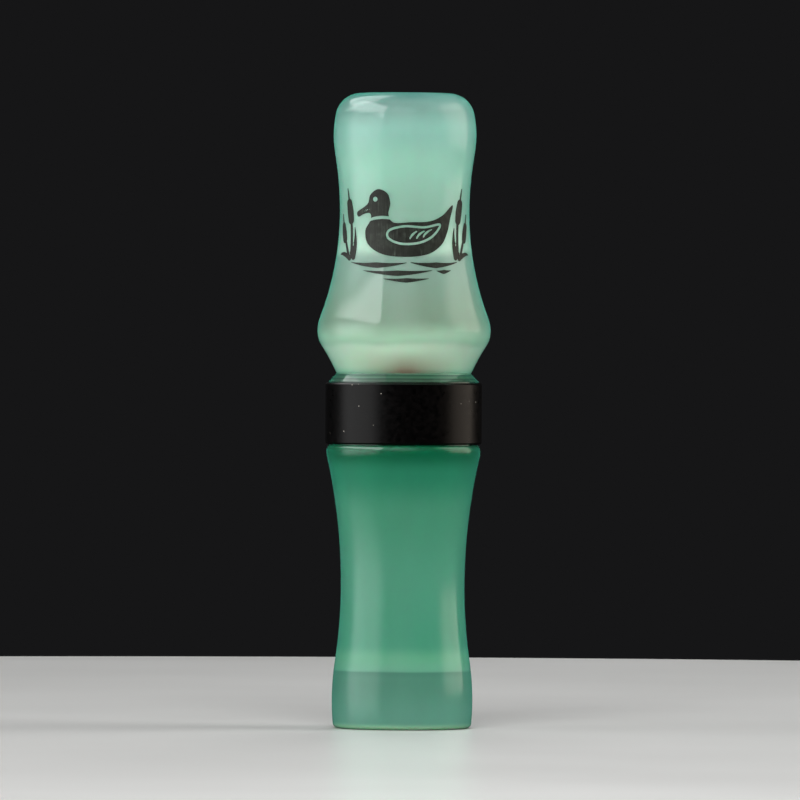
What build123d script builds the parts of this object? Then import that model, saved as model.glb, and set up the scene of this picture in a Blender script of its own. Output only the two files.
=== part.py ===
from build123d import *
import math
import os

# A double-reed duck call in two turned acrylic halves. The barrel has the mouthpiece at its
# lower end and a black aluminium band near its upper end. The insert plugs into the barrel's
# top on two O-rings and holds the tone board, two reeds and the cork wedge that clamps them.
#
# Millimetres. Z is the axis that both halves are turned about. z = 0 is the flat end of the
# mouthpiece, on which the call stands, and the sound leaves at the top. -Y is the front, the
# side of the tone board that carries the reeds. Outlines are given as (radius, height).

# ---------------------------------------------------------------- barrel, outside
barrel_length = 78.0
mouth_end_radius = 15.2
mouth_swell_radius = 15.47
mouth_swell_height = 6.0
barrel_waist_radius = 13.6
barrel_waist_height = 31.1
barrel_turnover = 0.35  # share of the way from swell to waist where the curve turns over
shoulder_ledge = 0.49  # the shoulder stands this far out from the band's seat
shoulder_turnover = 0.95  # where the cove from the waist gives way to the shoulder's bead
shoulder_rounding = 1.3  # height of the rounding, which ends at the band's seat
lip_width = 1.65  # sloping lip, from the band's seat in to the flat ring at the joint
lip_drop = 1.85  # and its height
mouth_rounding = 1.0

# ---------------------------------------------------------------- barrel, inside
bore_radius = 7.94
bore_chamfer = 0.4
mouth_bore_radius = 6.35
mouth_bore_length = 12.7
bore_step_height = 3.3
mouth_bore_rounding = 1.2

# ---------------------------------------------------------------- band
band_radius = 17.2
band_wall = 0.73
band_length = 13.5
band_glue = 0.02
band_chamfer = 0.35
band_reveal = 0.25  # bare seat left between the band and the lip
band_gap = 0.2  # and between the band and the shoulder

# ---------------------------------------------------------------- insert, outside
insert_reach = 61.6
bulge_radius = 19.05
bulge_height = 9.2  # above the joint
bulge_underside_radius = 5.7
bulge_underside_angle = 32.5  # degrees from the axis
insert_waist_radius = 14.23
insert_waist_height = 35.4  # above the joint
bulge_turnover = 0.117
flare_radius = 15.7
flare_drop = 9.3  # below the top
flare_turnover = 0.76
rim_radius = 13.78
rim_rounding = 5.6

# ---------------------------------------------------------------- insert, inside
exhaust_radius = 6.35
exhaust_depth = 35.6
exhaust_rounding = 1.0
exhaust_cone = 1.4
channel_radius = 3.175
channel_end_wall = 5.0  # solid acrylic left at the tip of the tone board

# ---------------------------------------------------------------- tenon and its seals
tenon_length = 24.4
tenon_fit = 0.09
tenon_chamfer = 0.4
o_ring_cord = 1.72
o_ring_squeeze = 0.07
seal_fit = 0.02
groove_slack = 0.25
rear_ring_depth = 2.5  # below the joint
front_ring_depth = 6.5

# ---------------------------------------------------------------- tone board, reeds, wedge
board_step = 0.25  # board radius below the tenon's
tip_gap = 2.4  # board tip to the step in the barrel's bore
deck_offset = 1.2  # the deck lies this far in front of the axis
deck_fall_start = 31.0  # below the joint, where the deck starts to fall away
tip_fall = 1.3
tip_thickness = 3.6
tip_taper = 22.0
tip_rounding = 2.4
seat_wall_depth = 9.6  # below the joint, where the wedge seat's wall meets the deck
seat_wall_undercut = 15.0  # degrees
reed_thickness = 0.25
reed_margin = 0.9  # bare deck on each side of a reed
reed_corner = 2.2
reed_setback = 1.0  # board tip to the lower reed's tip
upper_reed_setback = 1.6  # lower reed's tip to the upper reed's tip
upper_reed_lift = 0.3
dimple_radius = 1.3
dimple_setback = 11.0
clamp_gap = 0.02
wedge_length = 13.5
wedge_fit = 0.1  # wedge's back below the tenon's skin
wedge_wall_gap = 0.05
wedge_front_slope = 12.0  # degrees

# ---------------------------------------------------------------- worked out from those
joint = barrel_length
top = joint + insert_reach
seat_radius = band_radius - band_wall - band_glue
shoulder_radius = seat_radius + shoulder_ledge
lip_radius = seat_radius - lip_width  # both halves meet at this radius
seat_top = barrel_length - lip_drop
band_low = seat_top - band_reveal - band_length
shoulder_height = band_low - band_gap
bore_floor = mouth_bore_length + bore_step_height
tenon_radius = bore_radius - tenon_fit
board_radius = tenon_radius - board_step
tip = bore_floor + tip_gap
deck = -deck_offset
tip_deck = deck + tip_fall
reed_width = 2 * (math.sqrt(board_radius**2 - deck_offset**2) - reed_margin)
reed_tip = tip + reed_setback
upper_reed_tip = reed_tip + upper_reed_setback
ring_half_depth = o_ring_cord * (1 - o_ring_squeeze) / 2
ring_half_height = (o_ring_cord / 2) ** 2 / ring_half_depth
groove_radius = bore_radius - 2 * (ring_half_depth + seal_fit)
groove_half_height = ring_half_height + groove_slack / 2
seat_wall = joint - seat_wall_depth
reach = 2 * bulge_radius  # longer than any cut has to be


def turned(edges):
    """Spin a closed outline of (radius, height) edges about the axis."""
    return revolve(Plane.XZ * make_face(edges), Axis.Z)


def side_cut(edges):
    """Carry a closed outline of (y, height) edges right across the call, along X."""
    return extrude(Plane.YZ * make_face(edges), reach, both=True)


def ogee(low, high, share):
    """Two arcs that leave low and reach high parallel to the axis. They meet, tangent, on
    the straight line between the two points, at this share of the way up."""
    meet = (low[0] + share * (high[0] - low[0]), low[1] + share * (high[1] - low[1]))
    return [TangentArc(low, meet, tangent=(0, 1)), TangentArc(high, meet, tangent=(0, -1))]


def chain(*points):
    """Straight edges through the points, in order."""
    return list(Polyline(*points).edges())


def round_at(solid, radius, height, size):
    """Round the circular edge that lies at this radius and height."""
    edges = [
        edge
        for edge in solid.edges().filter_by(GeomType.CIRCLE)
        if math.isclose(edge.radius, radius, abs_tol=0.01)
        and math.isclose(edge.center().Z, height, abs_tol=0.01)
    ]
    return fillet(edges, size)


def make_barrel():
    swell = (mouth_swell_radius, mouth_swell_height)
    waist = (barrel_waist_radius, barrel_waist_height)
    shoulder = (shoulder_radius, shoulder_height - shoulder_rounding)
    outside = [
        TangentArc(swell, (mouth_end_radius, 0), tangent=(0, -1)),
        *ogee(swell, waist, barrel_turnover),
        *ogee(waist, shoulder, shoulder_turnover),
        TangentArc(shoulder, (seat_radius, shoulder_height), tangent=(0, 1)),
    ]
    collar = chain(
        (seat_radius, shoulder_height),
        (seat_radius, seat_top),
        (lip_radius, joint),
        (bore_radius + bore_chamfer, joint),
        (bore_radius, joint - bore_chamfer),
        (bore_radius, bore_floor),
        (mouth_bore_radius, mouth_bore_length),
        (mouth_bore_radius, 0),
        (mouth_end_radius, 0),
    )
    body = turned(outside + collar)
    body = round_at(body, mouth_end_radius, 0, mouth_rounding)
    return round_at(body, mouth_bore_radius, 0, mouth_bore_rounding)


def make_band():
    inner = seat_radius + band_glue
    high = band_low + band_length
    return turned(
        chain(
            (inner, band_low),
            (band_radius - band_chamfer, band_low),
            (band_radius, band_low + band_chamfer),
            (band_radius, high - band_chamfer),
            (band_radius - band_chamfer, high),
            (inner, high),
            (inner, band_low),
        )
    )


def insert_outside():
    """Outline from the joint up over the bulge, the waist and the flare to the rim."""
    bulge = (bulge_radius, joint + bulge_height)
    waist = (insert_waist_radius, joint + insert_waist_height)
    flare = (flare_radius, top - flare_drop)
    turn = math.radians(bulge_underside_angle)
    under = (
        bulge[0] - bulge_underside_radius * (1 - math.cos(turn)),
        bulge[1] - bulge_underside_radius * math.sin(turn),
    )
    return [
        TangentArc(under, (lip_radius, joint), tangent=(-math.sin(turn), -math.cos(turn))),
        TangentArc(bulge, under, tangent=(0, -1)),
        *ogee(bulge, waist, bulge_turnover),
        *ogee(waist, flare, flare_turnover),
        TangentArc(flare, (rim_radius, top), tangent=(0, 1)),
    ]


def tenon_outside():
    """Outline from the joint down the tenon, past both grooves, to the board's tip."""
    points = [(lip_radius, joint), (tenon_radius, joint)]
    for depth in (rear_ring_depth, front_ring_depth):
        high = joint - depth + groove_half_height
        low = joint - depth - groove_half_height
        points += [(tenon_radius, high), (groove_radius, high)]
        points += [(groove_radius, low), (tenon_radius, low)]
    end = joint - tenon_length
    points += [(tenon_radius, end + tenon_chamfer), (board_radius, end), (board_radius, tip)]
    return chain(*points, (0, tip))


def insert_inside():
    """Outline of the air passage: exhaust bore, cone, tone channel and its round end."""
    channel_end = tip + channel_end_wall
    exhaust_floor = top - exhaust_depth
    ball = CenterArc((0, channel_end + channel_radius), channel_radius, -90, 90)
    straight = chain(
        (channel_radius, channel_end + channel_radius),
        (channel_radius, exhaust_floor),
        (exhaust_radius, exhaust_floor + exhaust_cone),
        (exhaust_radius, top),
        (rim_radius, top),
    )
    return [Line((0, tip), (0, channel_end)), ball, *straight]


def reed_side():
    """What is cut away in front of the tone board: the wedge's seat and the space over the
    deck, which is flat under the reeds and then falls away towards the tip."""
    lean = math.tan(math.radians(seat_wall_undercut))
    wall_foot = (deck, seat_wall)
    wall_head = (-reach, seat_wall - (reach + deck) * lean)
    fall_start = (deck, joint - deck_fall_start)
    edges = chain(wall_head, wall_foot, fall_start)
    edges.append(TangentArc(fall_start, (tip_deck, tip), tangent=(0, -1)))
    edges += chain((tip_deck, tip), (tip_deck, tip - reach), (-reach, tip - reach), wall_head)
    return side_cut(edges)


def board_underside():
    """What is cut away behind the tone board, so that it thins towards the tip."""
    corner = (board_radius, tip + tip_taper)
    return side_cut(
        chain(corner, (tip_deck + tip_thickness, tip), (reach, tip), (reach, corner[1]), corner)
    )


def plan_outline(width, low, high, corner):
    """A strip seen from the front, with its two lower corners rounded, through and through."""
    half = width / 2
    strip = Plane.XZ * Pos(0, (low + high) / 2) * Rectangle(width, high - low)
    solid = extrude(strip, reach, both=True)
    edges = solid.edges().filter_by(Axis.Y).group_by(Axis.Z)[0]
    return fillet(edges, min(corner, half / 2))


def make_insert():
    body = turned(insert_outside() + tenon_outside() + insert_inside())
    body = round_at(body, rim_radius, top, rim_rounding)
    body = round_at(body, exhaust_radius, top, exhaust_rounding)
    return (body - reed_side() - board_underside()) & tip_corners()


def tip_corners():
    """All space above the tone board, and the board itself with its tip corners rounded."""
    end = joint - tenon_length
    board = plan_outline(2 * board_radius, tip, end + 1, tip_rounding)
    above = Pos(0, 0, (end + top + 1) / 2) * Box(2 * reach, 2 * reach, top + 1 - end)
    return board + above


def make_o_ring(depth):
    section = Plane.XZ * Pos(groove_radius + seal_fit + ring_half_depth, joint - depth)
    return revolve(section * Ellipse(ring_half_depth, ring_half_height), Axis.Z)


def reed_tail():
    """Where the reeds stop: short of the undercut wall, measured at their outer face."""
    lean = math.tan(math.radians(seat_wall_undercut))
    return seat_wall - (2 * reed_thickness + 3 * clamp_gap) * lean - wedge_wall_gap


def make_lower_reed():
    back = deck - clamp_gap
    front = back - reed_thickness
    length = reed_tail() - reed_tip
    strip = Pos(0, (back + front) / 2, reed_tip + length / 2) * Box(reed_width, reed_thickness, length)
    return strip & plan_outline(reed_width, reed_tip, reed_tail(), reed_corner)


def make_upper_reed():
    """Clamped flat on the lower reed, then held off it by the dimple's foot."""
    back = deck - 2 * clamp_gap - reed_thickness
    clamp = seat_wall - wedge_length
    tip_back = back - upper_reed_lift
    side = chain(
        (back, reed_tail()),
        (back, clamp),
        (tip_back, upper_reed_tip),
        (tip_back - reed_thickness, upper_reed_tip),
        (back - reed_thickness, clamp),
        (back - reed_thickness, reed_tail()),
        (back, reed_tail()),
    )
    strip = side_cut(side) & plan_outline(reed_width, upper_reed_tip, reed_tail(), reed_corner)
    height = upper_reed_tip + dimple_setback
    lift = upper_reed_lift * (clamp - height) / (clamp - upper_reed_tip)
    ball = Pos(0, back - dimple_radius, height) * Sphere(dimple_radius)
    hollow = Pos(0, back - dimple_radius - reed_thickness, height) * Sphere(dimple_radius)
    mid_thickness = back - lift - reed_thickness / 2
    foot_side = Pos(0, mid_thickness + reach / 2, height) * Box(reach, reach, reach)
    return strip + (ball & foot_side) - hollow


def make_wedge():
    """A D-shaped cork block: flat on the reeds, round like the tenon on its other side."""
    foot = deck - 3 * clamp_gap - 2 * reed_thickness
    lean = math.tan(math.radians(seat_wall_undercut))
    slope = math.tan(math.radians(wedge_front_slope))
    back_low = seat_wall - wedge_wall_gap + (foot - deck) * lean
    front_low = seat_wall - wedge_length
    out = tenon_radius + foot
    side = chain(
        (foot, front_low),
        (foot, back_low),
        (-tenon_radius, back_low - out * lean),
        (-tenon_radius, front_low + out * slope),
        (foot, front_low),
    )
    middle = (front_low + back_low) / 2
    round_stock = Pos(0, 0, middle) * Cylinder(tenon_radius - wedge_fit, 2 * wedge_length)
    return round_stock & side_cut(side)


parts = {
    "barrel": make_barrel(),
    "band": make_band(),
    "insert": make_insert(),
    "rear_o_ring": make_o_ring(rear_ring_depth),
    "front_o_ring": make_o_ring(front_ring_depth),
    "lower_reed": make_lower_reed(),
    "upper_reed": make_upper_reed(),
    "wedge_cork": make_wedge(),
}

os.makedirs("parts", exist_ok=True)
for name, shape in parts.items():
    export_step(shape, f"parts/{name}.step")
    print(f"{name}: {shape.volume:.1f} mm3, {len(shape.solids())} solid, valid {shape.is_valid}")
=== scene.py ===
# %% [markdown]
# # A turned acrylic duck call
#
# This lesson dresses the working model of a duck call: a barrel with a black metal band, and an
# insert that plugs into it and carries the tone board, two reeds and a cork wedge. The call is
# turned on a lathe, so most of its pieces are one outline spun about an axis. That is the first
# thing to build: a few arcs in a plane, carried round in a circle.
#
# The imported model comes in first. It fixes every place and size, and the pieces made here ride
# on its bodies. Z runs up the call's axis from the mouthpiece, and -Y is the front.

import math

import bpy
import numpy as np
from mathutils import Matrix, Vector


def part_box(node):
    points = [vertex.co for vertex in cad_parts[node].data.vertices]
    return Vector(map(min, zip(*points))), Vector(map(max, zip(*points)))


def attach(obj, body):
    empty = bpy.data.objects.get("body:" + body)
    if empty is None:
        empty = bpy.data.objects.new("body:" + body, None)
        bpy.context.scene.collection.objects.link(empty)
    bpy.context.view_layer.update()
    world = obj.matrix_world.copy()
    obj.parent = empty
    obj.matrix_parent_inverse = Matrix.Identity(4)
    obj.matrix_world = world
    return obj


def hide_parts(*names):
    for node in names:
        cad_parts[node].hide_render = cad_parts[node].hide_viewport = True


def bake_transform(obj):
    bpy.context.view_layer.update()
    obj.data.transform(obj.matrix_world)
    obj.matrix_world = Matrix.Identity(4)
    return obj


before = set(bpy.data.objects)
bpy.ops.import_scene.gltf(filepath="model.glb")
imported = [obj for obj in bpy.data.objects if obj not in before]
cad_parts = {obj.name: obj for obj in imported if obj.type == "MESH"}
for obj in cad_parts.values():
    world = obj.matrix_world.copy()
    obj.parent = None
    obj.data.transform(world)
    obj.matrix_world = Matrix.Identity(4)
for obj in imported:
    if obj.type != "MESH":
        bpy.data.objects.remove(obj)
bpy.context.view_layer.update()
MM = 0.001

joint_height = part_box("barrel")[1].z / MM
top_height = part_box("insert")[1].z / MM
band_low, band_high = (corner.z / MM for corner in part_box("band"))
band_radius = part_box("band")[1].x / MM
print(f"joint at {joint_height:.1f} mm, top at {top_height:.1f} mm, "
      f"band {band_low:.1f} to {band_high:.1f} mm, radius {band_radius:.2f} mm")

# %% [markdown]
# ## Arcs and the lathe
#
# A turner's outline is made of coves and beads that run into each other without a kink. An arc
# that starts in a known direction and ends at a known point has only one possible radius, so
# the two points and the direction are all that has to be written down. Spinning the outline
# gives a grid: one way runs along the outline, the other way goes round the axis. Worked out
# this way the surface is much smoother than a faceted solid, which matters in clear acrylic,
# because every facet would show as a line in the reflections.

# %% Outline helpers
def arc(start, end, direction, step=0.3):
    """Points on the circle that leaves start in this direction and passes through end. Its
    radius is the squared gap over twice the part of the gap that lies to the side."""
    start, end, ahead = (np.asarray(v, float) for v in (start, end, direction))
    ahead = ahead / np.linalg.norm(ahead)
    side = np.array([-ahead[1], ahead[0]])
    gap = end - start
    radius = gap @ gap / (2 * gap @ side)
    turn = 2 * math.atan2(gap @ side, gap @ ahead)
    count = max(3, math.ceil(abs(radius * turn) / step))
    angle = np.linspace(0, turn, count + 1)[:, None]
    return start + radius * (np.sin(angle) * ahead + (1 - np.cos(angle)) * side)


def straight(start, end, step=0.6):
    """Evenly spaced points from start to end."""
    start, end = np.asarray(start, float), np.asarray(end, float)
    count = max(1, math.ceil(np.linalg.norm(end - start) / step))
    return start + np.linspace(0, 1, count + 1)[:, None] * (end - start)


def ogee(low, high, share):
    """Two arcs that leave low and reach high parallel to the axis, and meet on the line
    between them at this share of the way up."""
    low, high = np.asarray(low, float), np.asarray(high, float)
    meet = low + share * (high - low)
    return joined(arc(low, meet, (0, 1)), arc(high, meet, (0, -1))[::-1])


def joined(*stretches):
    """The stretches end to end, with each shared point kept once."""
    return np.concatenate([stretches[0]] + [s[1:] for s in stretches[1:]])


# %% Grid and lathe helpers
def grid_faces(rows, columns, close_rows=False, close_columns=False):
    """One four-sided face for each cell of a grid whose point (r, c) is number
    r * columns + c. Where a way closes, its last point joins its first."""
    r = np.arange(rows if close_rows else rows - 1)[:, None]
    c = np.arange(columns if close_columns else columns - 1)[None, :]
    r_next, c_next = (r + 1) % rows, (c + 1) % columns
    corners = (r * columns + c, r * columns + c_next,
               r_next * columns + c_next, r_next * columns + c)
    return np.stack(corners, axis=-1).reshape(-1, 4)


def make_piece(name, points, faces, material, uv=None, sharp_degrees=35):
    """A mesh object at the origin from points in metres and faces of point numbers."""
    mesh = bpy.data.meshes.new(name)
    mesh.from_pydata(points.reshape(-1, 3).tolist(), [], faces.tolist())
    mesh.polygons.foreach_set("use_smooth", np.ones(len(mesh.polygons), bool))
    mesh.set_sharp_from_angle(angle=math.radians(sharp_degrees))
    if uv is not None:
        corner_points = np.empty(len(mesh.loops), int)
        mesh.loops.foreach_get("vertex_index", corner_points)
        layer = mesh.uv_layers.new(name="UVMap")
        layer.data.foreach_set("uv", uv.reshape(-1, 2)[corner_points].ravel().astype(np.float32))
    mesh.materials.append(material)
    piece = bpy.data.objects.new(name, mesh)
    bpy.context.scene.collection.objects.link(piece)
    print(f"{name}: {len(mesh.vertices)} points, {len(mesh.polygons)} faces")
    return piece


def spin(name, outline, material, steps=192):
    """The closed outline (radius, height) in mm, carried round the axis: a point at angle a
    stands at (radius cos a, radius sin a, height)."""
    angle = np.linspace(0, 2 * math.pi, steps, endpoint=False)[None, :]
    radius, height = outline[:-1, 0][:, None], outline[:-1, 1][:, None]
    points = np.stack([radius * np.cos(angle), radius * np.sin(angle), height + 0 * angle], axis=-1)
    faces = grid_faces(len(outline) - 1, steps, close_rows=True, close_columns=True)
    return make_piece(name, points * MM, faces, material)


# %% [markdown]
# ## Node helpers for the finishes
#
# Every finish below is a Principled shader whose colour, roughness and bump come from patterns
# in the object's own coordinates, in metres. Whatever is the same all over is typed straight
# into the shader. These helpers only save repeating the same three lines for every node.

# %% Finish helpers
def tint(red, green, blue):
    """A screen colour, 0 to 255, as the linear colour that shaders use."""
    share = np.array([red, green, blue]) / 255
    linear = np.where(share <= 0.04045, share / 12.92, ((share + 0.055) / 1.055) ** 2.4)
    return (*linear.tolist(), 1.0)


class Finish:
    """A new material with a Principled shader, and short ways to add nodes to it."""

    def __init__(self, name, **settings):
        self.material = bpy.data.materials.new(name)
        self.material.use_nodes = True
        self.tree = self.material.node_tree
        self.shader = self.tree.nodes["Principled BSDF"]
        self.output = self.tree.nodes["Material Output"]
        for socket, value in settings.items():
            self.shader.inputs[socket.replace("_", " ")].default_value = value
        self.place = self.tree.nodes.new("ShaderNodeTexCoord").outputs["Object"]

    def node(self, kind, inputs=None, **settings):
        """A node of this kind, with its settings and its inputs set or linked."""
        made = self.tree.nodes.new("ShaderNode" + kind)
        for key, value in settings.items():
            setattr(made, key, value)
        for key, value in (inputs or {}).items():
            if isinstance(value, bpy.types.NodeSocket):
                self.tree.links.new(value, made.inputs[key])
            else:
                made.inputs[key].default_value = value
        return made

    def noise(self, scale, detail=3.0, stretch=(1, 1, 1), roughness=0.5):
        """Soft random mottling: scale is in lumps per metre, and stretch scales each way."""
        placed = self.node("Mapping", {"Vector": self.place, "Scale": stretch}).outputs[0]
        inputs = {"Vector": placed, "Scale": scale, "Detail": detail, "Roughness": roughness}
        return self.node("TexNoise", inputs).outputs["Fac"]

    def spread(self, value, low, high, to_low=0.0, to_high=1.0):
        """A value moved from one range to another, and held inside it."""
        inputs = {"Value": value, "From Min": low, "From Max": high,
                  "To Min": to_low, "To Max": to_high}
        return self.node("MapRange", inputs).outputs["Result"]

    def sums(self, operation, first, second=0.0):
        """One step of arithmetic on two values."""
        return self.node("Math", {0: first, 1: second}, operation=operation).outputs[0]

    def blend(self, share, first, second, mode="MIX"):
        """Two colours mixed by a share. Counted from 0, the Mix node's colours are inputs 6
        and 7, and the mixed colour is output 2."""
        inputs = {"Factor": share, 6: first, 7: second}
        return self.node("Mix", inputs, data_type="RGBA", blend_type=mode).outputs[2]

    def ramp(self, value, stops):
        """Colours at places from 0 to 1, running softly from one to the next."""
        made = self.node("ValToRGB", {"Fac": value})
        made.color_ramp.interpolation = "EASE"
        elements = made.color_ramp.elements
        while len(elements) < len(stops):
            elements.new(0.5)
        for element, (place, colour) in zip(elements, stops):
            element.position = place
            element.color = colour
        return made.outputs["Color"]

    def wire(self, value, socket):
        """Feed a value into one of the shader's sockets."""
        self.tree.links.new(value, self.shader.inputs[socket])

    def bump(self, height, distance, strength, socket="Normal"):
        """Relief of this height in metres, felt by the base or by the clear coat."""
        inputs = {"Height": height, "Distance": distance, "Strength": strength}
        self.wire(self.node("Bump", inputs).outputs["Normal"], socket)


# %% [markdown]
# ## Pearl acrylic
#
# The rod is cast acrylic with a milky pearl in it. Light goes in, scatters, and comes out
# tinted, and the hollows inside show as lighter and darker levels along the call: the exhaust
# bore lights up the top, the solid part above the joint is greyer, the step in the barrel's
# bore glows, and the thick mouthpiece below it is duller again. A clear glass shader would show
# every inner edge sharply, and a plain colour would look like painted wood. So the finish mixes
# three things: most of the light scatters just under the surface, a smaller share goes right
# through a body that absorbs red, and a clear coat on top gives the polish. The lighter and
# darker levels are painted light and shade in the colour. They are set by height, because that
# is where the hollows are, over the acrylic's own tint: the glow of the bores, painted shade
# under the band, and thin painted highlight lines at the barrel's foot, on its lip and above the
# insert's joint. At the front of the insert's foot a faint red-brown is painted in where the
# cork shows through the acrylic.

# %% Acrylic settings
acrylic_index = 1.49
light_through = 0.3
scatter_reach = (0.0032, 0.0020, 0.0024)
side_teal = (0.12, 1.0, 0.72, 1)
coat_teal = (0.74, 0.98, 0.93, 1)
pearl_white = (0.92, 1.0, 0.96, 1)
pearl_share = 0.16
speck_white = (0.9, 0.95, 0.9, 1)
# Painted see-through: a red-brown glimpse of the cork through the acrylic at the front of the insert's
# foot.
seen_cork_colour = tint(150, 86, 76)
seen_cork_strength = 0.85
seen_cork_centre = 0.5
seen_cork_top = 83.0
print(f"light travels {scatter_reach[1] / MM:.1f} to {scatter_reach[0] / MM:.1f} mm in the acrylic")


# %% Patterns in the acrylic
def colour_and_painted_light_by_height(finish, levels, drift_height):
    """The colour at each height, with painted light and shade in it: levels are (height in mm,
    colour), and soft noise moves the height up or down by as much as drift_height, so that a
    level's edge is not ruled."""
    low, high = levels[0][0], levels[-1][0]
    height = finish.node("SeparateXYZ", {"Vector": finish.place}).outputs["Z"]
    drift = finish.spread(finish.noise(70, 2), 0.3, 0.7, -drift_height * MM, drift_height * MM)
    share = finish.spread(finish.sums("ADD", height, drift), low * MM, high * MM)
    return finish.ramp(share, [((mm - low) / (high - low), colour) for mm, colour in levels])


def painted_seen_cork(finish):
    """Share of the painted see-through of the cork at a point: it falls off to both sides of the
    front and upwards from the joint, and there is none on the tenon."""
    parts = finish.node("SeparateXYZ", {"Vector": finish.place}).outputs
    aside = finish.sums("ABSOLUTE", finish.sums("SUBTRACT", parts["X"], seen_cork_centre * MM))
    middle = finish.spread(aside, 1.0 * MM, 12.0 * MM, 1.0, 0.0)
    front = finish.spread(parts["Y"], -6.0 * MM, -2.0 * MM, 1.0, 0.0)
    foot = finish.spread(parts["Z"], (joint_height + 0.4) * MM, seen_cork_top * MM, seen_cork_strength, 0.0)
    above_tenon = finish.spread(parts["Z"], (joint_height - 0.6) * MM, joint_height * MM)
    seen_cork = finish.sums("MULTIPLY", finish.sums("MULTIPLY", front, middle), foot)
    return finish.sums("MULTIPLY", seen_cork, above_tenon)


def pale_specks(finish):
    """Fine specks: the heart of each cell in a random pattern, in one cell of eight."""
    cells = finish.node("TexVoronoi", {"Vector": finish.place, "Scale": 260.0})
    picked = finish.node("SeparateColor", {"Color": cells.outputs["Color"]}).outputs[0]
    hearts = finish.spread(cells.outputs["Distance"], 0.02, 0.035, 1.0, 0.0)
    return finish.sums("MULTIPLY", hearts, finish.spread(picked, 0.86, 0.88, 0.0, 0.6))


# %% Pearl acrylic
def pearl_acrylic(name, levels, absorbed, density, drift_height, side_sheen, paints_seen_cork=False):
    """Scattering acrylic under a clear coat: the colour at each height with its painted light and
    shade, pearl swirled through it, the painted see-through of the cork where asked, and specks.
    absorbed and density tint the light that goes right through, and side_sheen is the strength
    of the teal glow along its sides."""
    finish = Finish(
        name,
        Roughness=0.42,
        IOR=acrylic_index,
        Specular_IOR_Level=0.2,
        Transmission_Weight=light_through,
        Subsurface_Weight=1.0,
        Subsurface_Radius=scatter_reach,
        Subsurface_Scale=1.0,
        Sheen_Weight=side_sheen,
        Sheen_Roughness=0.4,
        Sheen_Tint=side_teal,
        Coat_Weight=1.0,
        Coat_Roughness=0.06,
        Coat_IOR=acrylic_index,
        Coat_Tint=coat_teal,
    )
    # The colour by height carries painted light and shade: the bores' glow, shade under the band and
    # thin highlight lines.
    body = colour_and_painted_light_by_height(finish, levels, drift_height)
    swirl = finish.spread(finish.noise(55, 5, (1, 1, 0.35), 0.6), 0.35, 0.68)
    pearl = finish.blend(pearl_share, body, pearl_white, "SOFT_LIGHT")
    pearly = finish.blend(swirl, body, pearl)
    # Painted see-through of the cork, on the front of the insert's foot.
    if paints_seen_cork:
        pearly = finish.blend(painted_seen_cork(finish), pearly, seen_cork_colour)
    finish.wire(finish.blend(pale_specks(finish), pearly, speck_white), "Base Color")
    finish.bump(finish.noise(160, 2, (1, 1, 0.5)), 0.02 * MM, 0.35, "Coat Normal")
    absorb = finish.node("VolumeAbsorption", {"Color": absorbed, "Density": density})
    finish.tree.links.new(absorb.outputs["Volume"], finish.output.inputs["Volume"])
    return finish.material


# %% Colour, painted light and shade of the two halves
# The insert's colour by height with painted light and shade: lit by the exhaust bore near the top,
# greyer over the solid part, and a bright painted band with a highlight line just above the joint.
insert_painted_light_levels = [
    (18, tint(120, 200, 170)),
    (76, tint(120, 200, 168)),
    (80, tint(225, 227, 205)),
    (83.6, tint(231, 232, 213)),
    (85, tint(194, 208, 186)),
    (90, tint(143, 149, 133)),
    (103, tint(155, 164, 154)),
    (105.5, tint(207, 214, 198)),
    (112, tint(167, 185, 171)),
    (124, tint(180, 206, 192)),
    (131, tint(165, 192, 183)),
    (137, tint(138, 157, 152)),
    (139.6, tint(84, 123, 120)),
]
insert_acrylic = pearl_acrylic(
    "insert_pearl_mint", insert_painted_light_levels, absorbed=(0.30, 0.90, 0.72, 1), density=45,
    drift_height=0.5, side_sheen=0.25, paints_seen_cork=True)

# The barrel's colour by height with painted light and shade: a painted highlight line at the foot, the
# duller thick mouthpiece, a painted glow at the bore's step, painted shade deepening under the band, and
# thin painted highlight and shade lines on the lip.
barrel_painted_light_levels = [
    (0, tint(187, 214, 176)),
    (1.5, tint(115, 156, 141)),
    (11, tint(96, 139, 122)),
    (12.5, tint(88, 132, 116)),
    (12.9, tint(120, 168, 144)),
    (15.5, tint(114, 168, 139)),
    (18.5, tint(85, 150, 125)),
    (33, tint(95, 154, 130)),
    (47, tint(87, 149, 123)),
    (56, tint(51, 133, 104)),
    (61, tint(3, 96, 64)),
    (75.5, tint(3, 13, 8)),
    (76.1, tint(25, 35, 21)),
    (76.35, tint(70, 92, 74)),
    (76.5, tint(58, 82, 62)),
    (76.7, tint(10, 36, 22)),
    (76.95, tint(14, 48, 30)),
    (77.1, tint(70, 104, 80)),
    (77.3, tint(58, 96, 72)),
    (77.5, tint(12, 44, 28)),
    (77.75, tint(24, 58, 40)),
    (77.9, tint(150, 168, 144)),
    (78, tint(150, 168, 144)),
]
barrel_acrylic = pearl_acrylic(
    "barrel_pearl_jade", barrel_painted_light_levels, absorbed=(0.12, 0.82, 0.58, 1), density=60,
    drift_height=0.05, side_sheen=0.15)
print(f"acrylic levels: {len(insert_painted_light_levels)} in the insert, {len(barrel_painted_light_levels)} in the barrel")

# %% [markdown]
# ## The barrel
#
# The barrel swells at the mouthpiece, draws in to a waist that a lanyard loop can grip, and
# opens again to a shoulder under the band. Above the band a sloping lip leads to the flat ring
# that the insert sits on. Inside, a wide bore runs down to a cone and a narrower mouthpiece
# bore. The outside goes up and the inside comes down, so the outline is one closed loop and the
# spun piece is a closed solid, which clear material needs.

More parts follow.
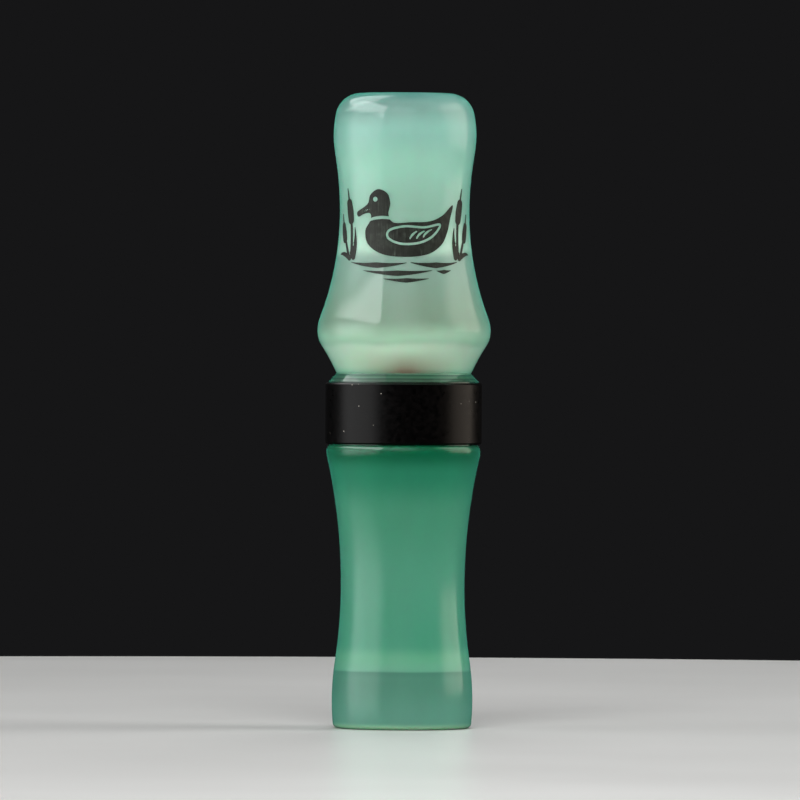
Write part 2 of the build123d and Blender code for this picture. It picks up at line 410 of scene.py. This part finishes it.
# %% The barrel's sizes
mouth_corner = (15.24, 1.0)
mouth_rounding_end = (14.2, 0.0)
swell = (15.47, 6.0)
waist = (13.6, 31.1)
shoulder_radius = 16.94
shoulder_height = band_low - 0.2
shoulder_rounding = 1.3
shoulder = (shoulder_radius, shoulder_height - shoulder_rounding)
seat_radius = 16.45
seat_top = joint_height - 1.85
lip_radius = 14.8
bore_radius = 7.94
bore_edge = 0.4
bore_foot = 16.0
mouth_bore_radius = 6.35
mouth_bore_top = 12.7
mouth_bore_rounding = 1.2
mouth_bore_mouth = mouth_bore_radius + mouth_bore_rounding
print(f"the bore steps from {2 * bore_radius:.2f} mm to {2 * mouth_bore_radius:.1f} mm "
      f"between {bore_foot:.1f} and {mouth_bore_top:.1f} mm")

# %% The barrel
swell_to_mouth = arc(swell, mouth_corner, (0, -1))
last_run = swell_to_mouth[-1] - swell_to_mouth[-2]
mouth_rounding = arc(mouth_corner, mouth_rounding_end, last_run, 0.12)
outside = joined(
    mouth_rounding[::-1],
    swell_to_mouth[::-1],
    ogee(swell, waist, 0.35),
    ogee(waist, shoulder, 0.95),
    arc(shoulder, (seat_radius, shoulder_height), (0, 1), 0.1),
    straight((seat_radius, shoulder_height), (seat_radius, seat_top)),
    straight((seat_radius, seat_top), (lip_radius, joint_height)),
)
inside = joined(
    straight((lip_radius, joint_height), (bore_radius + bore_edge, joint_height)),
    straight((bore_radius + bore_edge, joint_height), (bore_radius, joint_height - bore_edge)),
    straight((bore_radius, joint_height - bore_edge), (bore_radius, bore_foot)),
    straight((bore_radius, bore_foot), (mouth_bore_radius, mouth_bore_top)),
    straight((mouth_bore_radius, mouth_bore_top), (mouth_bore_radius, mouth_bore_rounding)),
    arc((mouth_bore_radius, mouth_bore_rounding), (mouth_bore_mouth, 0), (0, -1), 0.15),
    straight((mouth_bore_mouth, 0), mouth_rounding_end),
)
barrel_shell = spin("barrel_shell", joined(outside, inside), barrel_acrylic)
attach(barrel_shell, "barrel")
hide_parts("barrel")

# %% [markdown]
# ## The insert
#
# The insert's outside is spun like the barrel, but its tone board is milled flat and hollowed,
# so its exact shape comes from the working model and only its finish is new.

# %% The insert's finish
def refinish(node, material):
    """Give a node of the working model this material in place of its own."""
    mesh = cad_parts[node].data
    mesh.materials.clear()
    mesh.materials.append(material)
    print(f"{node}: {material.name}")


refinish("insert", insert_acrylic)

# %% [markdown]
# ## The engraved duck
#
# The insert carries a picture cut by laser and filled with dark ink: a duck on the water
# between cattails. A picture like this is a flat drawing wrapped round a turned surface. The
# drawing is made of a few closed curves and tapering strokes. For every point of a fine grid
# the distance to the nearest edge is worked out, below zero inside the ink. Cells that touch
# ink are kept, and their outer points are slid onto the edge, so that the outline stays crisp
# without a huge mesh. The grid is then laid on the insert's own measured outline.

# %% Drawing helpers
def closed_curve(points, per_gap=7):
    """A smooth closed curve through the points: between two of them, the cubic whose slope at
    each is half of the way from its neighbour before to its neighbour after."""
    p = np.asarray(points, float)
    before, after, beyond = np.roll(p, 1, 0), np.roll(p, -1, 0), np.roll(p, -2, 0)
    t = np.linspace(0, 1, per_gap, endpoint=False)[None, :, None]
    a, b, c, d = (v[:, None, :] for v in (before, p, after, beyond))
    curve = b + 0.5 * t * (c - a + t * (2 * a - 5 * b + 4 * c - d + t * (3 * (b - c) + d - a)))
    return curve.reshape(-1, 2)


def inside_distance(place, corners):
    """Distance from each place to a closed line of corners, below zero inside it."""
    start, end = corners[None], np.roll(corners, -1, 0)[None]
    away, along = place[:, None] - start, end - start
    share = np.clip((away * along).sum(-1) / (along ** 2).sum(-1), 0, 1)
    nearest = np.linalg.norm(away - share[..., None] * along, axis=-1).min(1)
    spans = (start[..., 1] > place[:, None, 1]) != (end[..., 1] > place[:, None, 1])
    rise = np.where(along[..., 1] == 0, 1, along[..., 1])
    crossing = start[..., 0] + away[..., 1] / rise * along[..., 0]
    crossed = (spans & (place[:, None, 0] < crossing)).sum(1)
    return np.where(crossed % 2 == 1, -nearest, nearest)


def stroke_distance(place, start, bend, end, widths):
    """Distance to a brush stroke that curves from start to end, pulled towards bend, with
    half widths at start, middle and end."""
    t = np.linspace(0, 1, 60)[:, None]
    start, bend, end = (np.asarray(v, float) for v in (start, bend, end))
    line = (1 - t) ** 2 * start + 2 * t * (1 - t) * bend + t ** 2 * end
    half = np.interp(t[:, 0], (0, 0.5, 1), widths)
    return (np.linalg.norm(place[:, None] - line[None], axis=-1) - half[None]).min(1)


# %% The drawing
duck = closed_curve([
    (-11.6, 4.3), (-9.6, 5.4), (-8.5, 6.3), (-7.9, 8.1), (-6.0, 9.3), (-3.9, 8.4), (-3.2, 6.2),
    (-3.6, 3.8), (-2.4, 2.0), (1.5, 2.1), (5.6, 2.3), (8.8, 3.6), (11.8, 5.9), (11.0, 2.8),
    (10.2, 0.0), (8.6, -2.8), (5.2, -4.9), (0.0, -5.5), (-5.0, -4.9), (-8.4, -2.8), (-9.2, 0.2),
    (-7.8, 2.6), (-8.0, 4.0), (-9.6, 3.9), (-11.2, 3.3),
])
wing = closed_curve([
    (-3.4, 0.3), (0.0, 1.2), (4.4, 1.0), (8.2, 1.6), (6.4, -0.9), (3.2, -2.4), (-0.8, -2.6),
    (-3.6, -1.4),
])
feathers = (((1.2, -1.5), (2.9, 0.2)), ((2.7, -1.4), (4.5, 0.2)), ((4.2, -1.1), (6.1, 0.5)))
print(f"duck: {len(duck)} corners, wing: {len(wing)} corners")


def draw_duck(place):
    """The nearest edge of the whole drawing: inks are joined by taking the least distance,
    and a shape is cut out by taking the greatest with its distance turned round."""
    ink = inside_distance(place, duck)
    wing_gap = np.abs(inside_distance(place, wing)) - 0.26
    collar = stroke_distance(place, (-8.3, 2.5), (-5.6, 3.5), (-2.9, 2.9), (0.3, 0.36, 0.3))
    eye = np.linalg.norm(place - (-6.7, 7.1), axis=1) - 0.55
    cuts = [wing_gap, collar, eye]
    for low, high in feathers:
        middle = (low[0] + 0.4, (low[1] + high[1]) / 2 + 0.2)
        cuts.append(stroke_distance(place, low, middle, high, (0.16, 0.26, 0.12)))
    cuts.append(stroke_distance(place, (-9.8, 4.45), (-9.0, 4.7), (-8.2, 4.9), (0.08, 0.14, 0.08)))
    for cut in cuts:
        ink = np.maximum(ink, -cut)
    strokes = [
        ((-13.2, -6.7), (-6.0, -7.9), (0.4, -6.8), (0.08, 0.62, 0.08)),
        ((1.4, -6.7), (7.2, -7.9), (13.0, -6.6), (0.08, 0.62, 0.08)),
        ((-9.6, -8.5), (-1.2, -9.7), (6.2, -8.4), (0.08, 0.60, 0.08)),
        ((7.4, -8.5), (9.2, -9.0), (11.0, -8.4), (0.06, 0.46, 0.06)),
        ((-4.6, -10.3), (0.6, -11.0), (5.4, -10.2), (0.06, 0.50, 0.06)),
    ]
    for side in (-1, 1):
        strokes += [
            ((side * 13.4, -5.4), (side * 13.2, 0.0), (side * 14.0, 5.4), (0.44, 0.38, 0.34)),
            ((side * 13.75, 2.6), (side * 14.05, 4.4), (side * 14.45, 6.2), (1.0, 1.15, 1.0)),
            ((side * 14.6, 7.0), (side * 14.8, 8.2), (side * 15.1, 9.4), (0.3, 0.24, 0.12)),
            ((side * 14.3, -5.6), (side * 15.2, -3.0), (side * 16.3, -1.0), (0.42, 0.38, 0.34)),
            ((side * 16.2, -1.6), (side * 16.6, -0.2), (side * 17.0, 1.2), (0.9, 1.05, 0.9)),
            ((side * 17.1, 1.8), (side * 17.3, 2.8), (side * 17.5, 3.8), (0.28, 0.22, 0.12)),
            ((side * 12.7, -5.6), (side * 11.8, -2.6), (side * 12.3, 0.8), (0.60, 0.48, 0.10)),
            ((side * 14.0, -5.8), (side * 16.4, -4.4), (side * 18.0, -5.0), (0.56, 0.46, 0.10)),
        ]
    for stroke in strokes:
        ink = np.minimum(ink, stroke_distance(place, *stroke))
    return ink


# %% Lay the drawing on the insert
emblem_height = 109.0
drawing_side = 18.6
drawing_foot, drawing_top = -11.6, 10.4
drawing_span = 40
cell = 0.12
skin = 0.035
ink_depth = 0.12
outside_from = 13
insert_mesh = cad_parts["insert"].data
insert_points = np.empty(len(insert_mesh.vertices) * 3)
insert_mesh.vertices.foreach_get("co", insert_points)
insert_points = insert_points.reshape(-1, 3) / MM
insert_radius = np.hypot(insert_points[:, 0], insert_points[:, 1])
insert_height = insert_points[:, 2]
outer = (insert_height > 90) & (insert_height < 130) & (insert_radius > outside_from)
order = np.argsort(insert_height[outer])
skin_height, skin_radius = insert_height[outer][order], insert_radius[outer][order]
print(f"the insert's radius behind the drawing is {skin_radius.min():.2f} to {skin_radius.max():.2f} mm")


def lay_emblem(name, material):
    """The grid (s, h) wrapped on the insert: at height h it has the insert's radius r and
    stands at angle s / r round from the front."""
    s, h = np.meshgrid(np.arange(-drawing_side, drawing_side, cell),
                       np.arange(drawing_foot, drawing_top, cell))
    flat = np.stack([s.ravel(), h.ravel()], axis=1)
    depth = draw_duck(flat).reshape(s.shape)
    slope_h, slope_s = np.gradient(depth, cell)
    steep = np.maximum(np.hypot(slope_h, slope_s), 0.5) ** 2
    slide = np.where((depth > 0) & (depth < 1.5 * cell), depth, 0) / steep
    s, h = s - slide * slope_s, h - slide * slope_h
    radius = np.interp(h + emblem_height, skin_height, skin_radius) + skin
    angle = s / radius
    points = np.stack([radius * np.sin(angle), -radius * np.cos(angle), h + emblem_height], axis=-1)
    faces = grid_faces(*s.shape)
    faces = faces[(depth.ravel()[faces] < 0).any(axis=1)]
    used, renumbered = np.unique(faces, return_inverse=True)
    uv = np.stack([s.ravel(), h.ravel()], axis=1)[used] / drawing_span + 0.5
    inlay = make_piece(name, points.reshape(-1, 3)[used] * MM, renumbered.reshape(-1, 4), material, uv)
    wall = inlay.modifiers.new("ink_depth", "SOLIDIFY")
    wall.thickness = ink_depth * MM
    wall.offset = -1
    return inlay


def engraved_ink():
    """Dark filler in laser cuts: brown-black, crossed by the fine upright lines that the beam
    leaves, which are a little paler where the ink is thin."""
    finish = Finish("engraved_ink", IOR=1.5, Specular_IOR_Level=0.35)
    wrapped = finish.node("UVMap").outputs["UV"]
    scaled = finish.node("Mapping", {"Vector": wrapped, "Scale": (330, 7, 1)}).outputs[0]
    beam = finish.node("TexNoise", {"Vector": scaled, "Scale": 1.0, "Detail": 3.0}).outputs["Fac"]
    mottle = finish.noise(900, 3)
    mixed = finish.sums("ADD", finish.sums("MULTIPLY", beam, 0.7),
                        finish.sums("MULTIPLY", mottle, 0.3))
    inks = [(0.36, tint(20, 20, 18)), (0.52, tint(32, 35, 30)), (0.66, tint(58, 66, 58))]
    finish.wire(finish.ramp(mixed, inks), "Base Color")
    finish.wire(finish.spread(beam, 0.3, 0.7, 0.45, 0.62), "Roughness")
    finish.bump(beam, 0.03 * MM, 0.4)
    return finish.material


emblem = lay_emblem("engraved_duck", engraved_ink())
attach(emblem, "insert")

# %% [markdown]
# ## The black band
#
# The band is a thin aluminium ring, turned, blasted and dyed black. Its corners are broken by
# small chamfers that catch the light as fine lines. Anodising leaves a satin skin with faint
# turning lines round it, and black shows every speck of dust.

# %% Black anodised finish
def black_anodised():
    """Satin black with a fine mottle, turning lines stretched round the ring, and dust: the
    heart of each cell in a random pattern, in one cell of six."""
    finish = Finish("band_black_anodised", IOR=1.5, Specular_IOR_Level=0.27)
    tone = finish.noise(900, 3)
    body = finish.ramp(tone, [(0.3, tint(1, 1, 1)), (0.7, tint(5, 4, 4))])
    cells = finish.node("TexVoronoi", {"Vector": finish.place, "Scale": 620.0})
    picked = finish.node("SeparateColor", {"Color": cells.outputs["Color"]}).outputs[0]
    hearts = finish.spread(cells.outputs["Distance"], 0.05, 0.09, 1.0, 0.0)
    dust = finish.sums("MULTIPLY", hearts, finish.spread(picked, 0.82, 0.84))
    finish.wire(finish.blend(dust, body, tint(165, 160, 150)), "Base Color")
    finish.wire(finish.spread(tone, 0.3, 0.7, 0.27, 0.34), "Roughness")
    finish.bump(finish.noise(60, 2, (1, 1, 90)), 0.02 * MM, 0.25)
    return finish.material


# %% The band
chamfer = 0.35
band_wall = 0.73
inner = band_radius - band_wall
band_outline = joined(
    straight((inner, band_low), (band_radius - chamfer, band_low)),
    straight((band_radius - chamfer, band_low), (band_radius, band_low + chamfer), 0.2),
    straight((band_radius, band_low + chamfer), (band_radius, band_high - chamfer)),
    straight((band_radius, band_high - chamfer), (band_radius - chamfer, band_high), 0.2),
    straight((band_radius - chamfer, band_high), (inner, band_high)),
    straight((inner, band_high), (inner, band_low)),
)
band_ring = spin("band_ring", band_outline, black_anodised())
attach(band_ring, "barrel")
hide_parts("band")

# %% [markdown]
# ## O-rings, reeds and wedge
#
# Inside the joint are two rubber rings, and on the tone board two clear film reeds under a cork
# wedge. They are hidden until the insert is pulled out, and then they are what one looks at.

# %% Rubber, film and cork finishes
def seal_rubber():
    """Matt black rubber with a fine grain that also roughens it."""
    finish = Finish("seal_rubber", IOR=1.52, Specular_IOR_Level=0.45)
    grain = finish.noise(2500, 4)
    finish.wire(finish.ramp(grain, [(0.3, tint(16, 16, 17)), (0.7, tint(34, 33, 33))]), "Base Color")
    finish.wire(finish.spread(grain, 0.3, 0.7, 0.38, 0.6), "Roughness")
    finish.bump(grain, 0.03 * MM, 0.3)
    return finish.material


def reed_film():
    """Frosted clear film: most light goes through, and a soft haze runs along the strip."""
    finish = Finish("reed_film", IOR=1.6, Transmission_Weight=0.7, Coat_Weight=0.5,
                    Coat_Roughness=0.12)
    haze = finish.noise(240, 3, (1, 1, 0.4))
    hazes = [(0.3, tint(208, 216, 211)), (0.7, tint(226, 230, 224))]
    finish.wire(finish.ramp(haze, hazes), "Base Color")
    finish.wire(finish.spread(haze, 0.3, 0.7, 0.26, 0.34), "Roughness")
    finish.bump(finish.noise(2600, 2), 0.002 * MM, 0.15)
    return finish.material


def wedge_cork():
    """Three browns mottled together, with dark pores: the heart of one cell in three."""
    finish = Finish("wedge_cork", IOR=1.45, Specular_IOR_Level=0.25)
    grain = finish.noise(420, 5, (1, 1, 1), 0.62)
    browns = [(0.28, tint(118, 78, 48)), (0.5, tint(176, 128, 84)), (0.74, tint(204, 160, 112))]
    body = finish.ramp(grain, browns)
    cells = finish.node("TexVoronoi", {"Vector": finish.place, "Scale": 900.0})
    pores = finish.spread(cells.outputs["Distance"], 0.10, 0.26, 1.0, 0.0)
    picked = finish.node("SeparateColor", {"Color": cells.outputs["Color"]}).outputs[1]
    pores = finish.sums("MULTIPLY", pores, finish.spread(picked, 0.62, 0.7))
    finish.wire(finish.blend(pores, body, tint(62, 38, 24)), "Base Color")
    finish.wire(finish.spread(grain, 0.3, 0.7, 0.7, 0.9), "Roughness")
    finish.bump(finish.sums("SUBTRACT", grain, pores), 0.12 * MM, 0.5)
    return finish.material


rubber, film, cork = seal_rubber(), reed_film(), wedge_cork()
for node in ("rear_o_ring", "front_o_ring"):
    refinish(node, rubber)
refinish("wedge_cork", cork)

# %% [markdown]
# ## The reeds
#
# A reed is a strip cut from polyester film, with its tip's corners rounded. Blowing bends its
# whole free length. The working model only turns it as a stiff strip, so here each reed gets a
# fine grid of its own in one fixed shape: under the wedge it lies where the working model has
# it, and past the wedge it runs straight to a tip that stands a given lift off the deck. The
# upper reed also has a dimple, pressed in with a punch, that keeps the two apart.

# %% Film strips
corner_radius = 2.2
corner_steps = 14
first_gap, row_gap = 0.25, 0.3
points_across = 53
wedge_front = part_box("wedge_cork")[0].z / MM
print(f"the wedge clamps the reeds down to {wedge_front:.1f} mm")


def film_strip(name, node, lift, dimple):
    """Half width: full, less a quarter circle at the tip's corners. Back face: level with the
    working model's under the wedge, then a straight line that has moved lift away from the
    deck at the tip. Both faces follow a ball of the dimple's radius where it stands past them.
    dimple = that radius, and the distance from the tip to the ball's middle."""
    low, high = (np.array(corner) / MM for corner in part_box(node))
    turn = np.linspace(0, math.pi / 2, corner_steps)
    shank = np.arange(low[2] + corner_radius + first_gap, high[2], row_gap)
    height = np.concatenate([low[2] + corner_radius * (1 - np.cos(turn)), shank, high[2:]])
    half = np.full(len(height), high[0])
    half[:corner_steps] = high[0] - corner_radius + corner_radius * np.sin(turn)
    x = half[:, None] * np.linspace(-1, 1, points_across)[None, :]
    z = height[:, None] + 0 * x
    free = np.clip((wedge_front - z) / (wedge_front - low[2]), 0, 1)
    thickness = high[1] - low[1] - lift
    back = high[1] - lift * free
    front = back - thickness
    if dimple is not None:
        radius, setback = dimple
        away = np.hypot(x, z - low[2] - setback)
        cap = high[1] - radius + np.sqrt(np.maximum(radius ** 2 - away ** 2, 0.0))
        inside = away < radius
        back = np.where(inside, np.maximum(back, cap), back)
        front = np.where(inside, np.maximum(front, cap - thickness), front)
    faced = np.stack([x, front, z], axis=-1)
    backed = np.stack([x, back, z], axis=-1)[:, ::-1]
    points = np.concatenate([faced, backed], axis=1)
    rows, columns = points.shape[:2]
    faces = grid_faces(rows, columns, close_columns=True)
    i = np.arange(columns // 2 - 1)
    end = np.stack([i, i + 1, columns - 2 - i, columns - 1 - i], axis=-1)
    faces = np.concatenate([faces, end[:, ::-1], end + (rows - 1) * columns])
    strip = make_piece(name, points * MM, faces, film)
    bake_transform(strip)
    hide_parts(node)


# %% The two reeds
punched = (1.3, 11.0)
film_strip("lower_reed_film", "lower_reed", lift=0.0, dimple=None)
film_strip("upper_reed_film", "upper_reed", lift=0.3, dimple=punched)
print(f"the dimple is a {punched[0]} mm ball, {punched[1]:.0f} mm up from the tip")

# %% [markdown]
# ## Studio
#
# A pale table and a dim surround. Polished acrylic shows its lamps, so there are two kinds.
# Four panels are seen only in the polish: a big upright one on the left, whose straight edge
# shows on the insert, a low one for the barrel's left side, a warm one on the right and a small
# one for the rim. Four fills give the body its light and leave no reflection. The table is kept
# out of the reflections too, or it would hide the deep colour at the sides.

# %% Floor
floor_finish = Finish("pale_table", Roughness=0.3, Specular_IOR_Level=0.4)
floor_tones = [(0.3, (0.50, 0.50, 0.49, 1)), (0.7, (0.55, 0.55, 0.54, 1))]
floor_finish.wire(floor_finish.ramp(floor_finish.noise(6, 4), floor_tones), "Base Color")
floor_radius = 0.51
floor_sides = 96
rings = np.array([0.0005, 1.0])[:, None] * floor_radius
around = np.linspace(0, 2 * math.pi, floor_sides, endpoint=False)[None, :]
floor_points = np.stack([rings * np.cos(around), rings * np.sin(around), 0 * rings * around], axis=-1)
floor_faces = grid_faces(2, floor_sides, close_columns=True)[:, ::-1]
floor = make_piece("table_top", floor_points, floor_faces, floor_finish.material)
floor.location.z = -0.1 * MM
floor.visible_glossy = False

# %% Lights
centre = np.array([0.0, 0.0, top_height / 2 * MM])


def fade_edges(lamp, fade):
    """Brings a panel's glow up gradually from its edges, as cloth over a lamp does: for each
    edge, a smooth rise from 0 to 1 over its share of the panel, all four multiplied."""
    lamp.use_nodes = True
    tree = lamp.node_tree
    across = tree.nodes.new("ShaderNodeSeparateXYZ")
    panel_place = tree.nodes.new("ShaderNodeNewGeometry").outputs["Parametric"]
    tree.links.new(panel_place, across.inputs[0])
    left, right, lower, upper = fade
    edges = ((0, 0.0, left), (0, 1.0, 1.0 - right), (1, 0.0, lower), (1, 1.0, 1.0 - upper))
    glow = None
    for axis, edge, full in edges:
        if edge == full:
            continue
        rise = tree.nodes.new("ShaderNodeMapRange")
        rise.interpolation_type = "SMOOTHSTEP"
        tree.links.new(across.outputs[axis], rise.inputs["Value"])
        rise.inputs["From Min"].default_value = min(edge, full)
        rise.inputs["From Max"].default_value = max(edge, full)
        rise.inputs["To Min"].default_value = 0.0 if edge < full else 1.0
        rise.inputs["To Max"].default_value = 1.0 if edge < full else 0.0
        if glow is None:
            glow = rise.outputs["Result"]
            continue
        product = tree.nodes.new("ShaderNodeMath")
        product.operation = "MULTIPLY"
        tree.links.new(glow, product.inputs[0])
        tree.links.new(rise.outputs["Result"], product.inputs[1])
        glow = product.outputs[0]
    emission = next(n for n in tree.nodes if n.type == "EMISSION")
    tree.links.new(glow, emission.inputs["Strength"])


def soft_box(name, azimuth, elevation, distance, size, power, colour=(1, 1, 1), fade=None,
             upright=False):
    """A rectangular light that faces the call. Azimuth 0 is straight in front, and positive
    is to the right as one faces the call. fade = how far the glow takes to come up from the
    left, right, lower and upper edge, as shares of the panel. An upright panel stands
    vertical instead of leaning towards the call."""
    a, e = math.radians(azimuth), math.radians(elevation)
    towards = np.array([math.sin(a) * math.cos(e), -math.cos(a) * math.cos(e), math.sin(e)])
    lamp = bpy.data.lights.new(name, "AREA")
    lamp.shape = "RECTANGLE"
    lamp.size, lamp.size_y = size
    lamp.energy = power
    lamp.color = colour
    if fade is not None:
        fade_edges(lamp, fade)
    holder = bpy.data.objects.new(name, lamp)
    bpy.context.scene.collection.objects.link(holder)
    holder.location = (centre + distance * towards).tolist()
    facing = Vector((-towards).tolist())
    if upright:
        facing.z = 0.0
    holder.rotation_euler = facing.to_track_quat("-Z", "Y").to_euler()
    return holder


# %% Panels and fills
warm = (1, 0.86, 0.72)
panels = [
    soft_box("key_left", -82, 47, 1.17, (1.66, 1.06), 22, fade=(0.4, 0.0, 0.14, 0.2), upright=True),
    soft_box("low_left", -70, 5, 0.9, (1.50, 0.76), 4.8, fade=(0.3, 0.3, 0.35, 0.3)),
    soft_box("tall_right", 94, 22, 0.8, (0.94, 0.85), 3.5, warm, fade=(0.35, 0.1, 0.1, 0.1)),
    soft_box("rim_left", -130, 52, 0.8, (0.5, 0.5), 1.8),
]
fill_size = (0.6, 0.6)
fills = [
    soft_box("front_fill", -6, 34, 1.0, fill_size, 14),
    soft_box("left_fill", -90, 2, 1.0, fill_size, 6),
    soft_box("right_fill", 90, 38, 1.0, fill_size, 7),
    soft_box("back_fill", 175, 50, 0.8, (0.5, 0.5), 4),
]
for panel in panels:
    panel.visible_diffuse = False
for fill in fills:
    fill.visible_glossy = False
print(f"{len(panels)} panels and {len(fills)} fills")

world = bpy.data.worlds.new("dim_studio")
world.use_nodes = True
world.node_tree.nodes["Background"].inputs["Color"].default_value = (0.008, 0.008, 0.0085, 1)
bpy.context.scene.world = world

# %% Camera
eye_height = 0.089
eye_distance = 2.4
field = 0.176
aim_height = 0.0721
aim_side = -0.0008
lean = 0.31
sensor = 36
camera_data = bpy.data.cameras.new("camera")
camera_data.sensor_width = sensor
camera_data.lens = sensor * eye_distance / field
camera_data.clip_start = 0.05
camera = bpy.data.objects.new("camera", camera_data)
bpy.context.scene.collection.objects.link(camera)
camera.location = (aim_side, -eye_distance, eye_height)
tilt = math.atan2(eye_height - aim_height, eye_distance)
camera.rotation_mode = "XYZ"
camera.rotation_euler = (math.radians(90) - tilt, 0, 0)
camera.rotation_euler.rotate_axis("Z", math.radians(lean))
bpy.context.scene.camera = camera
bpy.context.scene.view_settings.view_transform = "Standard"
print(f"camera {eye_distance:.1f} m away, looking down {math.degrees(tilt):.2f} degrees")
